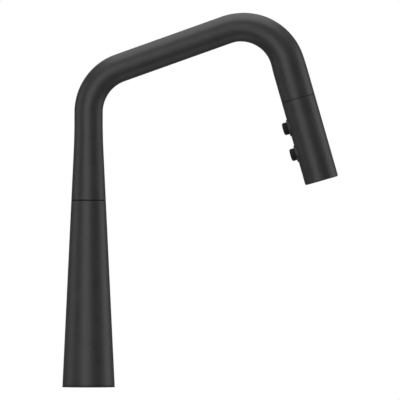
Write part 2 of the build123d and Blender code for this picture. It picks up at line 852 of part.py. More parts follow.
def easy_radius(before, corner, after):
    """The largest easy bend at a corner of the hose: 0.45 of the shorter run on each side."""
    back, ahead = Vector(*corner) - Vector(*before), Vector(*after) - Vector(*corner)
    half_turn = radians(back.get_angle(ahead) / 2)
    return 0.45 * min(back.length, ahead.length) / tan(half_turn)


def hose_base_run():
    """The hose from the shank, behind the cartridge and up the swivel post."""
    points = [
        (0, hose_shank_lane, hose_low_end),
        (0, hose_lane, valve_low + 2.0),
        (0, hose_lane, valve_high - 4.0),
        (0, 0, bell_top + bell_lid),
        (0, 0, hose_joint - face_gap),
    ]
    radii = [easy_radius(*points[i : i + 3]) for i in range(len(points) - 2)]
    return hose_tube(points, radii)


def hose_spout_run():
    """The hose inside the spout. Its bends are easier than the tube's, as far as the bore allows."""
    first_corner = arm_start - Vector(cos(rise), 0, sin(rise)) * (arm_start.X / cos(rise))
    reach = bend_radius * tan(second_turn / 2)
    second_corner = arm_end + Vector(cos(rise), 0, sin(rise)) * reach
    points = [
        (0, 0, hose_joint),
        tuple(first_corner),
        tuple(second_corner),
        tuple(leg_start + leg_direction * (hose_leg_start - face_gap)),
    ]
    first_ease = corner_room / (1 / cos((pi / 2 - rise) / 2) - 1)
    second_ease = (hose_leg_start - 1.0) / tan(second_turn / 2)
    return hose_tube(points, [bend_radius + first_ease, bend_radius + second_ease])


def hose_leg_run():
    """The last of the hose, drawn out of the leg when the spray head is pulled down."""
    return leg_frame * ring(hose_bore, hose_radius, hose_leg_start, leg_length + hose_end)


# ---- The hose's end -----------------------------------------------------------------------------

# heights in the head's frame
ferrule_top = -32.5
ferrule_low = -18.4
nut_top = -16.6
stem_flange_top = -13.5
stem_flange_low = -11.5
nipple_top = -10.5
stem_nose_low = -6.0
nut_low = -2.6
ferrule_wall = 1.1
crimp_depth = 0.4
crimp_width = 1.6
crimps = 3
nut_over_hose = 2.5
nut_wall = 1.0
nut_grooves = 16
nut_groove_radius = 0.8
nut_groove_depth = 0.45
stem_neck = hose_radius - 1.6
stem_nose = stem_neck + 0.5
stem_bore = 2.8
nut_radius = hose_radius + nut_over_hose
nipple_radius = nut_radius - nut_wall


def hose_ferrule():
    """Crimped metal sleeve round the hose's end."""
    outer = hose_radius + ferrule_wall
    body = ring(hose_radius + seat_gap, outer, ferrule_top, ferrule_low)
    pitch = (ferrule_low - ferrule_top) / (crimps + 1)
    for i in range(1, crimps + 1):
        low = ferrule_top + i * pitch - crimp_width / 2
        body -= ring(outer - crimp_depth, 2 * outer, low, low + crimp_width)
    return head_frame * body


def hose_stem():
    """Turned brass stem: its tail is inside the hose and its flange swivels inside the nut."""
    tail = hose_bore - seat_gap
    flange = nipple_radius - sliding_gap
    return head_frame * turned(
        (stem_bore, ferrule_top),
        (tail, ferrule_top),
        (tail, hose_end + face_gap),
        (stem_neck, hose_end + face_gap),
        (stem_neck, stem_flange_top),
        (flange, stem_flange_top),
        (flange, stem_flange_low),
        (stem_nose, stem_flange_low),
        (stem_nose, stem_nose_low),
        (stem_bore, stem_nose_low),
    )


def hose_nut():
    """Knurled nut that holds the hose's stem on the spray head's inlet."""
    mouth = stem_neck + loose_gap
    bore = nipple_radius + seat_gap
    lid_low = stem_flange_top - face_gap
    body = turned(
        (mouth, nut_top),
        (nut_radius - 1.0, nut_top),
        (nut_radius, nut_top + 1.0),
        (nut_radius, nut_low),
        (bore, nut_low),
        (bore, lid_low),
        (mouth, lid_low),
    )
    groove_circle = nut_radius + nut_groove_radius - nut_groove_depth
    for x, y in around(nut_grooves, groove_circle):
        body -= rod(nut_groove_radius, lid_low, nut_low, x, y)
    return head_frame * body


def hose_washer():
    """Rubber washer between the hose's stem and the inlet."""
    low = nipple_top - face_gap
    high = stem_flange_low + face_gap
    return head_frame * ring(stem_nose + loose_gap, nipple_radius - sliding_gap, high, low)


# ---- The spray head -----------------------------------------------------------------------------

# along the head's axis, from the seam
neck_flange = 5.0
body_top = neck_flange + 2 * face_gap
inlet_depth = 8.0  # of the inlet below the top of the inner body
face_setback = 1.5  # of the face plate from the head's end
face_thickness = 6.0
pad_thickness = 4.0
diffuser_space = 3.0  # between the inner body and the nozzle pad
nub_proud = 0.6  # of the nozzles, beyond the face plate
face_low = head_length - face_setback
pad_low = face_low - face_thickness
pad_top = pad_low - pad_thickness
body_end = pad_top - diffuser_space
nub_low = face_low + nub_proud
# across it
neck_play = 0.25
neck_wall = 1.5
body_inset = 0.4
seal_section = 0.95  # radius
inlet_bore = 5.0
side_passage = 3.2
side_passage_wall = 3.4
plunger_radius = 2.2
plunger_end = -2.5  # past the head's axis
plunger_drill = 1.6
jet_radius = 0.45
nub_radius = 0.95
jet_inset = 2.2  # of the outer jets from the inner body's edge
jet_pitch = 2.5
aerator_wall = 1.2
screen_thickness = 0.8
screen_hole = 0.7
screen_pitch = 2.05

head_bore = leg_radius - head_wall
button_heights = (upper_button_at, upper_button_at + button_pitch)
button_reach = leg_radius + button_proud
bezel_face = leg_radius + bezel_proud
bezel_back = bezel_face - bezel_depth
neck_radius = dock_bore - neck_play
lip_inset = 0.25  # from the head's surface
lip_play = 0.05  # between the lip and the end of the leg
lip_seat = 0.02  # between the lip and the head's tube
neck_top = nut_top + 0.5
catch_top = nut_top - 1.0
body_radius = head_bore - body_inset
body_flat = bezel_back - 2 * face_gap
seal_height = body_top + 2.8
seal_groove = head_bore - seat_gap - 2 * seal_section
side_passage_place = side_passage + side_passage_wall - body_radius
plunger_way_end = plunger_end - button_travel - 0.7
outer_jets = body_radius - jet_inset
inner_jets = outer_jets - jet_pitch
aerator_radius = inner_jets - jet_pitch + 0.2
screen_radius = aerator_radius - aerator_wall - seat_gap
nozzle_places = around(16, inner_jets) + around(20, outer_jets, 9)


def head_shell():
    """Outer tube of the spray head."""
    body = ring(head_bore, leg_radius, seam_gap / 2, head_length)
    ends = body.edges().filter_by(GeomType.CIRCLE).sort_by(SortBy.RADIUS)[-2:].sort_by(Axis.Z)
    body = fillet(ends[-1], head_end_round)
    for height in button_heights:
        body -= cross_rod(bezel_radius + seat_gap, 0, 2 * leg_radius, height)
    return head_frame * body


def head_neck():
    """Collar on the spray head that slides into the dock. Its lip is the dark line of the seam."""
    flange = head_bore - seat_gap
    lip = leg_radius - lip_inset
    lip_top = -seam_gap / 2 + lip_play
    inside = neck_radius - neck_wall
    eye = nipple_radius + seat_gap
    return head_frame * turned(
        (inside, neck_top),
        (neck_radius, neck_top),
        (neck_radius, lip_top),
        (lip, lip_top),
        (lip, seam_gap / 2 - lip_seat),
        (flange, seam_gap / 2 - lip_seat),
        (flange, neck_flange),
        (eye, neck_flange),
        (eye, seam_gap),
        (inside, seam_gap),
    )


def catch_ring():
    """Steel ring on the neck that the dock's magnet draws."""
    return head_frame * ring(magnet_bore, neck_radius - sliding_gap, catch_top, neck_top)


def waterway():
    """Inner body: inlet nipple, side passage and the ways of the two plungers."""
    inlet_end = body_top + inlet_depth
    turn_off = inlet_end - 4.0
    body = rod(nipple_radius, nipple_top, body_top)
    body += rod(body_radius, body_top, body_end)
    body -= block(body_flat, 2 * body_radius, -body_radius, body_radius, inlet_end, body_end)
    body -= rod(stem_nose + sliding_gap, nipple_top, stem_nose_low + 0.5)
    body -= rod(inlet_bore, nipple_top, inlet_end)
    body -= rod(side_passage, turn_off, body_end, side_passage_place)
    body -= block(side_passage_place, 0, -side_passage, side_passage, turn_off, inlet_end)
    for height in button_heights:
        body -= cross_rod(plunger_radius + sliding_gap, plunger_way_end, body_radius, height)
        body -= cross_rod(plunger_drill, side_passage_place, plunger_way_end, height)
    half_groove = seal_section + loose_gap
    groove = ring(seal_groove, 2 * body_radius, seal_height - half_groove, seal_height + half_groove)
    return head_frame * (body - groove)


def waterway_seal():
    """O-ring between the inner body and the outer tube."""
    return head_frame * bead(seal_groove + seat_gap + seal_section, seal_section, seal_height)


def check_valve():
    """Sealed non-return cartridge in the inlet."""
    top = stem_nose_low + 1.0
    low = top + 8.0
    body = rod(inlet_bore - seat_gap, top, low)
    body -= rod(inlet_bore - 1.4, top, top + 2.0)
    return head_frame * (body - rod(1.5, top + 2.0, low))


def diffuser_plate():
    """Perforated plate that spreads the water over the nozzles."""
    body = rod(body_radius, body_end + 2 * face_gap, pad_top - 2 * face_gap)
    for x, y in around(12, (inner_jets + outer_jets) / 2):
        body -= rod(1.2, body_end, pad_top, x, y)
    return head_frame * (body - rod(aerator_radius - 3.0, body_end, pad_top))


def nozzle_pad():
    """Soft pad with one nub for each jet."""
    body = ring(aerator_radius + sliding_gap, body_radius, pad_top, pad_low)
    for x, y in nozzle_places:
        body += rod(nub_radius, pad_low, nub_low, x, y)
        body -= rod(jet_radius, pad_top, nub_low, x, y)
    return head_frame * body


def spray_face():
    """Face plate at the end of the spray head."""
    body = ring(aerator_radius + loose_gap, head_bore - seat_gap, pad_low, face_low)
    for x, y in nozzle_places:
        body -= rod(nub_radius + sliding_gap, pad_low, face_low, x, y)
    return head_frame * body


def aerator():
    """Barrel of the aerator in the middle of the face."""
    inside = aerator_radius - aerator_wall
    body = ring(inside, aerator_radius, pad_top, nub_low)
    spokes = block(-inside - 0.2, inside + 0.2, -0.6, 0.6, pad_top, pad_top + 3)
    return head_frame * (body + spokes + Rot(0, 0, 90) * spokes)


def aerator_screen():
    """Perforated screen in the aerator's mouth."""
    high = face_low - 1.0
    low = high + screen_thickness
    body = rod(screen_radius, high, low) - rod(screen_hole, high, low)
    rings = int((screen_radius - screen_hole) / screen_pitch)
    for i in range(1, rings + 1):
        for x, y in around(6 * i, i * screen_pitch):
            body -= rod(screen_hole, high, low, x, y)
    return head_frame * body


# ---- The buttons --------------------------------------------------------------------------------

bezel_wall = 1.1
bezel_lip = 2.45  # thickness of the bezel's front, which the button's flange rests behind
bezel_round = 0.4
button_overtravel = 0.3
spring_radius = 3.6
spring_wire = 0.3
spring_turns = 4
spring_margin = 1.0  # of the button's hollow round the spring
bezel_pocket = bezel_radius - bezel_wall
bezel_front = bezel_face - bezel_lip
button_back = bezel_back + button_travel + button_overtravel
button_flange = bezel_front - 2 * face_gap
spring_seat = bezel_face + seat_gap


def button_place(height):
    """The button's frame: its Z runs out along the button, from the head's axis."""
    inner = Plane(origin=(0, 0, height), x_dir=(0, 0, 1), z_dir=(1, 0, 0)).location
    return head_frame * inner


def bezel(height):
    """Collar that guides the button and stands a little proud of the spray head."""
    body = rod(bezel_radius, bezel_back, bezel_face)
    rim = body.edges().filter_by(GeomType.CIRCLE).sort_by(Axis.Z)[-1]
    body = fillet(rim, bezel_round)
    body -= rod(bezel_pocket, bezel_back, bezel_front)
    return button_place(height) * (body - rod(button_radius + sliding_gap, bezel_back, bezel_face))


def button(height):
    """Rubber faced button with a slightly crowned face, kept in by its flange."""
    body = rod(button_radius, button_back, button_reach)
    body &= Pos(0, 0, button_reach - button_crown_radius) * Rot(90, 0, 0) * Sphere(button_crown_radius)
    rim = body.edges().filter_by(GeomType.CIRCLE).sort_by(Axis.Z)[-1]
    body = fillet(rim, button_round)
    body += rod(bezel_pocket - loose_gap, button_back, button_flange)
    hollow = rod(spring_radius + spring_margin, button_back, spring_seat)
    return button_place(height) * (body - hollow)


def plunger(height):
    """Valve plunger that the button pushes in."""
    return button_place(height) * rod(plunger_radius, plunger_end, spring_seat)


def button_spring(height):
    """Coil spring round the plunger that returns the button."""
    low = body_flat + spring_wire + seat_gap
    length = spring_seat - spring_wire - seat_gap - low
    coil = Helix(pitch=length / spring_turns, height=length, radius=spring_radius)
    section = Plane(origin=coil @ 0, z_dir=coil % 0) * Circle(spring_wire)
    return button_place(height) * (Pos(0, 0, low) * sweep(section, path=coil))


# ---- The parts ----------------------------------------------------------------------------------

upper, lower = button_heights
nodes = {
    "base_gasket": base_gasket(),
    "mounting_base": mounting_base(),
    "base_screws": base_screws(),
    "support_posts": support_posts(),
    "valve_screws": valve_screws(),
    "body_shell": body_shell(),
    "valve_body": valve_body(),
    "cartridge_sleeve": cartridge_sleeve(),
    "inlet_seals": inlet_seals(),
    "cartridge_base": cartridge_base(),
    "fixed_disc": fixed_disc(),
    "moving_disc": moving_disc(),
    "disc_driver": disc_driver(),
    "cartridge_housing": cartridge_housing(),
    "cartridge_nut": cartridge_nut(),
    "carrier": carrier(),
    "pivot_pin": pivot_pin(),
    "bonnet": bonnet(),
    "spindle": spindle(),
    "handle_hub": handle_hub(),
    "lever_rod": lever_rod(),
    "set_screw": set_screw(),
    "screw_plug": screw_plug(),
    "swivel_post": swivel_post(),
    "post_screws": post_screws(),
    "swivel_washer": swivel_washer(),
    "spout_friction_ring": spout_friction_ring(),
    "snap_ring": snap_ring(),
    "hose_guide": hose_guide(),
    "lower_swivel_bush": lower_swivel_bush(),
    "upper_swivel_bush": upper_swivel_bush(),
    "spout_tube": spout_tube(),
    "dock_sleeve": dock_sleeve(),
    "dock_magnet": dock_magnet(),
    "hose_base_run": hose_base_run(),
    "hose_spout_run": hose_spout_run(),
    "hose_leg_run": hose_leg_run(),
    "hose_ferrule": hose_ferrule(),
    "hose_stem": hose_stem(),
    "hose_nut": hose_nut(),
    "hose_washer": hose_washer(),
    "head_shell": head_shell(),
    "head_neck": head_neck(),
    "catch_ring": catch_ring(),
    "waterway": waterway(),
    "waterway_seal": waterway_seal(),
    "check_valve": check_valve(),
    "diffuser_plate": diffuser_plate(),
    "nozzle_pad": nozzle_pad(),
    "spray_face": spray_face(),
    "aerator": aerator(),
    "aerator_screen": aerator_screen(),
    "button_bezels": group([bezel(upper), bezel(lower)]),
    "upper_spring": button_spring(upper),
    "lower_spring": button_spring(lower),
    "upper_button": button(upper),
    "lower_button": button(lower),
    "upper_plunger": plunger(upper),
    "lower_plunger": plunger(lower),
}

for name, shape in nodes.items():
    export_step(shape, f"parts/{name}.step")
print(len(nodes), "nodes written")
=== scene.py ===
# %% [markdown]
# # Pull down kitchen faucet: the finish
# The faucet is already built as solid pieces at their real size, with its joints. This lesson
# gives it its looks: clean meshes for the pieces that are seen, a procedural finish for every
# piece, and a plain studio. Everything is in metres, in the frame that the solid pieces are in.

# %% Open the frame
import json
from math import atan2, cos, pi, radians, sin, sqrt, tan

import bmesh
import bpy
from mathutils import Matrix, Vector


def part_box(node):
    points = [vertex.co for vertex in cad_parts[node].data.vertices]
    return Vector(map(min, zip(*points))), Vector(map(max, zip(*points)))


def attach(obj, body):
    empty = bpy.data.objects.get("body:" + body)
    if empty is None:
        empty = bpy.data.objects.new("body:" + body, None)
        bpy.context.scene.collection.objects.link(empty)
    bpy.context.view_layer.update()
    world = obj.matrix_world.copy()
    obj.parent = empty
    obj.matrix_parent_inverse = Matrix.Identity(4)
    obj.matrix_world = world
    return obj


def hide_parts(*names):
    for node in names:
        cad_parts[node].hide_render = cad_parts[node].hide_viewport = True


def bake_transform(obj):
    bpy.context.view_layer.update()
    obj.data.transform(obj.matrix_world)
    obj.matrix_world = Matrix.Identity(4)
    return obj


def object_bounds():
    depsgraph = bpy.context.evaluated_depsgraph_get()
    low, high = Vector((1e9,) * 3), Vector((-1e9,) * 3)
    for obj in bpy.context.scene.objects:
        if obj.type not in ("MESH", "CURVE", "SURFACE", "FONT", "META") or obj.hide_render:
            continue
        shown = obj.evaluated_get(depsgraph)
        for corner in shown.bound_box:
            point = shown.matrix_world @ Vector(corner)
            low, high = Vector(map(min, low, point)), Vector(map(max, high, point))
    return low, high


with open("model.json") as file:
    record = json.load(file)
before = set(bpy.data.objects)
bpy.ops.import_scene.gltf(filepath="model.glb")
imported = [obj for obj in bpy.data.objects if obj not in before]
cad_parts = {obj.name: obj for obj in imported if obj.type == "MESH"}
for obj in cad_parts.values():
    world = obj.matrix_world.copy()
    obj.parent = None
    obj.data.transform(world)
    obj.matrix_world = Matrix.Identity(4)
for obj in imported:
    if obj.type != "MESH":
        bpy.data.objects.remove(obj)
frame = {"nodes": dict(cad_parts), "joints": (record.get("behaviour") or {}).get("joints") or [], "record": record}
solid_low, solid_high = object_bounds()
print("pieces:", len(frame["nodes"]), "size:", [round(v, 4) for v in solid_high - solid_low])

# %% [markdown]
# ## Places and sizes
# A piece goes where its solid is, so places come from the frame: joints give the axes, and a
# node's box gives its radius and its ends. Only a few sizes of the long curved spout are written
# here, because no box tells how tight a bend is.

# %% Axes and boxes
joints = {joint["name"]: joint for joint in frame["joints"]}
mounts = {mount["name"]: mount for mount in frame["record"]["mounts"]}
up = Vector((0, 0, 1))
side = Vector((0, 1, 0))
down_leg = Vector(joints["head_pull"]["axis"]).normalized()
to_buttons = -Vector(joints["spray_button_press"]["axis"]).normalized()
seam = Vector(joints["head_spin"]["pos_m"])
pivot = Vector(joints["lever_tilt"]["pos_m"])
outlet = Vector(mounts["spray_outlet"]["pos_m"])
handle_axis_point = Vector((0, 0, pivot.z))


def low(node):
    """Lowest corner of a solid's box."""
    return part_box(node)[0]


def high(node):
    """Highest corner of a solid's box."""
    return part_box(node)[1]


MM = 0.001
print("seam at", [round(v, 4) for v in seam], "pivot at", [round(v, 4) for v in pivot])

# %% Sizes of the spout
tube_radius = 15.0 * MM
tube_wall = 1.5 * MM
bend_radius = 49.8 * MM
first_bend_height = 290.1 * MM
arm_rise = radians(19.65)
cone_blend_radius = 665.0 * MM
flare_start = 6.0 * MM
flare_length = 90.0 * MM
flare_ease = 12.0 * MM
edge_round = 0.3 * MM
seam_round = 0.12 * MM

leg_radius = high("head_shell").y
seam_gap = 0.65 * MM
turning_play = 0.05 * MM
meeting = 0.01 * MM
mouth_height = high("swivel_washer").z + turning_play
foot_height = low("body_shell").z
foot_radius = high("body_shell").x
mouth_radius = -low("spout_tube").x
cone_slope = (foot_radius - mouth_radius) / (mouth_height - foot_height)
cone_top_height = foot_height + (foot_radius - tube_radius) / cone_slope
print("cone loses", round(cone_slope, 5), "of radius per unit of height")
print("cone meets the tube at", round(cone_top_height, 4))

# %% [markdown]
# ## Outlines with soft edges
# Almost every piece of a faucet is turned on a lathe or bent from a tube. Both are one outline,
# in radius and distance, carried round a path. No machined edge is truly sharp, and a black
# finish shows its edges only as thin highlights, so each outline corner can ask for a rounding. A
# smooth shaded face looks bent near a tight rounding unless a row of points holds it flat, so the
# helper adds one on each side of every arc.

# %% Soft corners


def soften(*corners, steps=5):
    """Closed outline from (radius, distance) or (radius, distance, rounding) corners."""
    outline = []
    for i, corner in enumerate(corners):
        here = Vector(corner[:2])
        rounding = corner[2] if len(corner) > 2 else 0
        if rounding == 0:
            outline.append(here)
            continue
        back = (Vector(corners[i - 1][:2]) - here).normalized()
        ahead = (Vector(corners[(i + 1) % len(corners)][:2]) - here).normalized()
        half = back.angle(ahead) / 2
        reach = rounding / tan(half)
        centre = here + (back + ahead).normalized() * (rounding / sin(half))
        first = here + back * reach - centre
        last = here + ahead * reach - centre
        turn = first.angle_signed(last)
        outline.append(here + back * (reach + rounding / 4))
        for k in range(steps + 1):
            arm = first.copy()
            arm.rotate(Matrix.Rotation(-turn * k / steps, 2))
            outline.append(centre + arm)
        outline.append(here + ahead * (reach + rounding / 4))
    return outline


# %% [markdown]
# ## Carrying an outline round a path
# A path is a function: it takes a distance and returns the place there and two directions square
# to the path. A lathe's path is straight. The spout's path runs up the column, round the first
# bend, along the arm, round the second bend and down the leg. One function then makes both kinds
# of piece as even rings of quads.

# %% Paths and rings


def straight(origin, heading, across):
    """Path of a lathe: straight from a point, with a direction where the first quad starts."""
    heading = heading.normalized()
    third = heading.cross(across)

    def path(distance):
        return origin + heading * distance, across, third

    return path


def finish_mesh(name, points, faces, sharp=40):
    """Object from points and faces, welded, facing outwards and smooth, with crisp edges kept."""
    mesh = bpy.data.meshes.new(name)
    mesh.from_pydata(points, [], faces)
    work = bmesh.new()
    work.from_mesh(mesh)
    bmesh.ops.remove_doubles(work, verts=work.verts, dist=1e-7)
    bmesh.ops.dissolve_degenerate(work, edges=work.edges, dist=1e-7)
    bmesh.ops.recalc_face_normals(work, faces=work.faces)
    work.to_mesh(mesh)
    work.free()
    mesh.shade_smooth()
    mesh.set_sharp_from_angle(angle=radians(sharp))
    piece = bpy.data.objects.new(name, mesh)
    bpy.context.scene.collection.objects.link(piece)
    return piece


def wrap(outline, path, around=96):
    """Points and quads of a closed outline carried round a path."""
    points = []
    for radius, distance in outline:
        place, across, third = path(distance)
        for k in range(around):
            angle = 2 * pi * k / around
            points.append(place + (across * cos(angle) + third * sin(angle)) * radius)
    faces = []
    for i in range(len(outline)):
        j = (i + 1) % len(outline)
        for k in range(around):
            m = (k + 1) % around
            faces.append((i * around + k, i * around + m, j * around + m, j * around + k))
    return points, faces


def joined(shapes):
    """Points and faces of several shapes as one."""
    points, faces = [], []
    for more_points, more_faces in shapes:
        start = len(points)
        points += more_points
        faces += [tuple(start + index for index in face) for face in more_faces]
    return points, faces


# %% [markdown]
# ## Handing a piece over
# Every made piece rides on the body that its solid belongs to, stands for that solid, and carries
# a finish. One call does all three, so that no piece is left behind.

# %% Body of a node and the hand-over
bodies = frame["record"]["behaviour"]["bodies"]
body_of = {node: body for body, members in bodies.items() for node in members}
slot_of = {part["node"]: part["material_slot"] for part in frame["record"]["subparts"]}


def hand_over(piece, *nodes, ride=True, finish=None):
    """The piece stands for these solids and moves with them, in its own finish or the first's."""
    slot = slot_of[nodes[0]]
    piece.data.materials.append(finish or bpy.data.materials[slot + "_finish"])
    if ride:
        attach(piece, body_of[nodes[0]])
    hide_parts(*nodes)
    print(piece.name, "stands for", ", ".join(nodes), "with", len(piece.data.polygons), "faces")
    return piece


# %% [markdown]
# ## Shader sums in plain Python
# A finish is a sum of layers: a colour, a grain, some dust. Writing `1 - mask * 0.3` is easier to
# read than five nodes and their links, so a small class wraps a socket, and each operator adds
# the Math node that it stands for. Colours are mixed with Mix nodes, because a Math node would
# turn them grey.

# %% A socket that can be added and multiplied


class Signal:
    """An output socket of a finish's nodes, which takes part in Python expressions."""

    def __init__(self, finish, socket):
        self.finish = finish
        self.socket = socket

    def maths(self, operation, *values):
        sockets = dict(enumerate([self, *values]))
        return self.finish.node("ShaderNodeMath", {"operation": operation}, sockets)

    def __add__(self, other):
        return self.maths("ADD", other)

    def __mul__(self, other):
        return self.maths("MULTIPLY", other)

    def __sub__(self, other):
        return self.maths("SUBTRACT", other)

    def __truediv__(self, other):
        return self.maths("DIVIDE", other)

    def __rsub__(self, other):
        return self.finish.node("ShaderNodeMath", {"operation": "SUBTRACT"}, {0: other, 1: self})

    __radd__ = __add__
    __rmul__ = __mul__

    def smooth(self, start, end):
        """0 below start, 1 above end, eased between them."""
        settings = {"interpolation_type": "SMOOTHSTEP"}
        sockets = {"Value": self, "From Min": start, "From Max": end}
        return self.finish.node("ShaderNodeMapRange", settings, sockets)


# %% [markdown]
# ## A finish
# Each finish is one Principled shader. What is the same all over, such as the specular level, is
# set on the shader's own socket. What changes over the surface feeds its colour, its roughness or
# a bump. Grain is measured in real size: `grain(0.2 * MM)` has features about a fifth of a
# millimetre across.

# %% Building a finish


class Finish:
    """A material with one Principled shader."""

    def __init__(self, name, **fixed):
        self.material = bpy.data.materials.new(name)
        self.material.use_nodes = True
        self.nodes = self.material.node_tree.nodes
        self.links = self.material.node_tree.links
        self.nodes.clear()
        self.shader = self.nodes.new("ShaderNodeBsdfPrincipled")
        output = self.nodes.new("ShaderNodeOutputMaterial")
        self.links.new(self.shader.outputs["BSDF"], output.inputs["Surface"])
        for socket, value in fixed.items():
            label = socket.replace("_", " ").title().replace("Ior", "IOR")
            self.shader.inputs[label].default_value = value

    def plug(self, socket, value):
        """Links a signal to a socket, or sets the socket to a plain value."""
        if isinstance(value, Signal):
            self.links.new(value.socket, socket)
        else:
            socket.default_value = value

    def node(self, kind, settings=None, sockets=None, output=0):
        """Adds a node: its settings first, then the values or links of its sockets."""
        made = self.nodes.new(kind)
        for name, value in (settings or {}).items():
            setattr(made, name, value)
        for name, value in (sockets or {}).items():
            self.plug(made.inputs[name], value)
        return Signal(self, made.outputs[output])

    def place(self):
        """Where a point is, in metres."""
        return self.node("ShaderNodeTexCoord", output="Object")

    def axes(self):
        """X, Y and Z of a point, as three numbers."""
        split = self.node("ShaderNodeSeparateXYZ", None, {0: self.place()})
        return [Signal(self, socket) for socket in split.socket.node.outputs]

    def stretched(self, scale):
        """The place, scaled along X, Y and Z, for a grain that runs one way."""
        settings = {"operation": "MULTIPLY"}
        return self.node("ShaderNodeVectorMath", settings, {0: self.place(), 1: scale})

    def grain(self, size, detail=2, place=None):
        """Soft noise from 0 to 1 with features of a real size."""
        sockets = {"Vector": place or self.place(), "Scale": 1 / size, "Detail": detail}
        return self.node("ShaderNodeTexNoise", None, sockets)

    def mix(self, share, first, second):
        """Colour between two colours."""
        sockets = {0: share, 6: first, 7: second}
        return self.node("ShaderNodeMix", {"data_type": "RGBA"}, sockets, output=2)

    def paint(self, colour, roughness):
        """Plugs the colour and the roughness, which change over the surface."""
        self.plug(self.shader.inputs["Base Color"], colour)
        self.plug(self.shader.inputs["Roughness"], roughness)

    def bump(self, height, depth=1.0):
        """Raises the surface by the height signal, in metres, or by a share of a depth."""
        sockets = {"Height": height, "Distance": depth, "Strength": 1.0}
        bump = self.node("ShaderNodeBump", None, sockets)
        self.links.new(bump.socket, self.shader.inputs["Normal"])


def grey(value, warmth=0.0):
    """A near neutral colour, a little warmer or cooler."""
    return (value * (1 + warmth), value, value * (1 - warmth), 1)


# %% [markdown]
# ## The matte black coat
# The column, spout, spray head and handle are brass with a baked matte black coat. It isn't one
# even black: it has a very fine sandy texture from the powder, a faint orange peel about two
# millimetres across from the baking, and broad patches that are slightly more or less matte. It
# reflects softly, so its shape reads through wide, low bands of light.

# %% Matte black coat
coat = Finish("matte_black_coating_finish", specular_ior_level=0.5)
powder = coat.grain(0.22 * MM, detail=3)
peel = coat.grain(2.2 * MM)
patches = coat.grain(18 * MM)
specks = powder.smooth(0.35, 0.65)
coat.paint(
    colour=coat.mix(specks * 0.5 + patches.smooth(0.35, 0.65) * 0.5, grey(0.0165), grey(0.0255)),
    roughness=0.38 + specks * 0.10 + patches * 0.05,
)
coat.bump(powder * (0.024 * MM) + peel * (0.012 * MM))
print("coat:", len(coat.nodes), "nodes")

# %% [markdown]
# ## Rubber, plastic and the soft jets
# The push buttons are rubber: darker and drier than the coat, with the fine spark-eroded grain of
# a mould. The face of the spray head, its collars and the collar in the leg are moulded plastic
# with a satin skin. The jets are silicone, a shade lighter than the plate.

# %% Rubber and plastics


def moulded(name, base, roughness, grain_size, depth, spread=0.15, shine=0.45):
    """A moulded skin: even colour, fine grain and a slightly uneven sheen."""
    finish = Finish(name, specular_ior_level=shine)
    fine = finish.grain(grain_size, detail=3)
    broad = finish.grain(9 * MM)
    darker = tuple(c * (1 - spread) for c in base[:3]) + (1,)
    finish.paint(
        colour=finish.mix(broad, darker, base),
        roughness=roughness + fine * 0.08 + broad * 0.04,
    )
    finish.bump(fine, depth)
    return finish


moulded("black_rubber_finish", grey(0.008), 0.58, 0.12 * MM, 0.010 * MM, shine=0.24)
moulded("seal_rubber_finish", grey(0.012), 0.38, 0.10 * MM, 0.004 * MM)
# Dark acetal is near black with very little shine: partly the plastic's own colour, partly painted shade, so that
# the spout's joints read as dark gaps.
moulded("dark_acetal_finish", grey(0.004), 0.60, 0.12 * MM, 0.004 * MM, shine=0.12)
moulded("black_plastic_finish", grey(0.027), 0.42, 0.14 * MM, 0.006 * MM)
moulded("soft_nozzle_finish", grey(0.045), 0.50, 0.10 * MM, 0.004 * MM)
moulded("grey_plastic_finish", grey(0.55, 0.02), 0.35, 0.15 * MM, 0.005 * MM)
moulded("white_ceramic_finish", (0.82, 0.80, 0.74, 1), 0.12, 0.05 * MM, 0.001 * MM, spread=0.03)

# %% [markdown]
# ## Bare metals
# Inside and underneath, the brass castings are machined, and the screws, springs and rings are
# steel. A cutter leaves fine rings, so the grain is squeezed along one direction, and fingers and
# time leave duller, slightly darker patches.

# %% Machined metals


def machined(name, colour, dull, squeeze, roughness):
    """Bare metal with fine cutting marks and faint patches."""
    finish = Finish(name, metallic=1.0)
    finish.cuts = finish.grain(0.5 * MM, detail=4, place=finish.stretched(squeeze))
    patches = finish.grain(6 * MM)
    finish.paint(
        colour=finish.mix(patches.smooth(0.4, 0.75), colour, dull),
        roughness=roughness + finish.cuts * 0.12 + patches * 0.08,
    )
    return finish


steel = machined("steel_finish", (0.62, 0.62, 0.63, 1), (0.50, 0.50, 0.51, 1), (1, 1, 6), 0.26)
magnet = machined("magnet_finish", (0.66, 0.64, 0.60, 1), (0.56, 0.54, 0.50, 1), (2, 2, 2), 0.16)
brass = machined("raw_brass_finish", (0.78, 0.56, 0.26, 1), (0.60, 0.42, 0.20, 1), (1, 1, 9), 0.24)
cut_depth = 0.004 * MM
for metal in (steel, magnet):
    metal.bump(metal.cuts, cut_depth)
    print(metal.material.name, len(metal.nodes), "nodes")

# %% [markdown]
# ## Threads in the brass
# The base is tapped for the hollow shank, and the valve for three hoses. A tapped thread could be
# cut as a real spiral groove, but it is only seen up the open foot. A bump is enough: its height
# is a zigzag that climbs one pitch for each turn round the hole, and it is let through only where
# the surface is at the thread's radius.

# %% Tapped holes


def tapped(finish, x, y, radius, pitch, top):
    """Height from 0 to 1 of the thread in an upright hole."""
    east, north, height = finish.axes()
    turn = (north - y).maths("ARCTAN2", east - x) / (2 * pi)
    away = ((east - x) * (east - x) + (north - y) * (north - y)).maths("SQRT")
    on_the_wall = 1 - (away - radius).maths("ABSOLUTE").smooth(0.1 * MM, 0.3 * MM)
    below_the_end = 1 - height.smooth(top - pitch, top)
    zigzag = (height / pitch + turn).maths("PINGPONG", 0.5) * 2
    return zigzag * on_the_wall * below_the_end


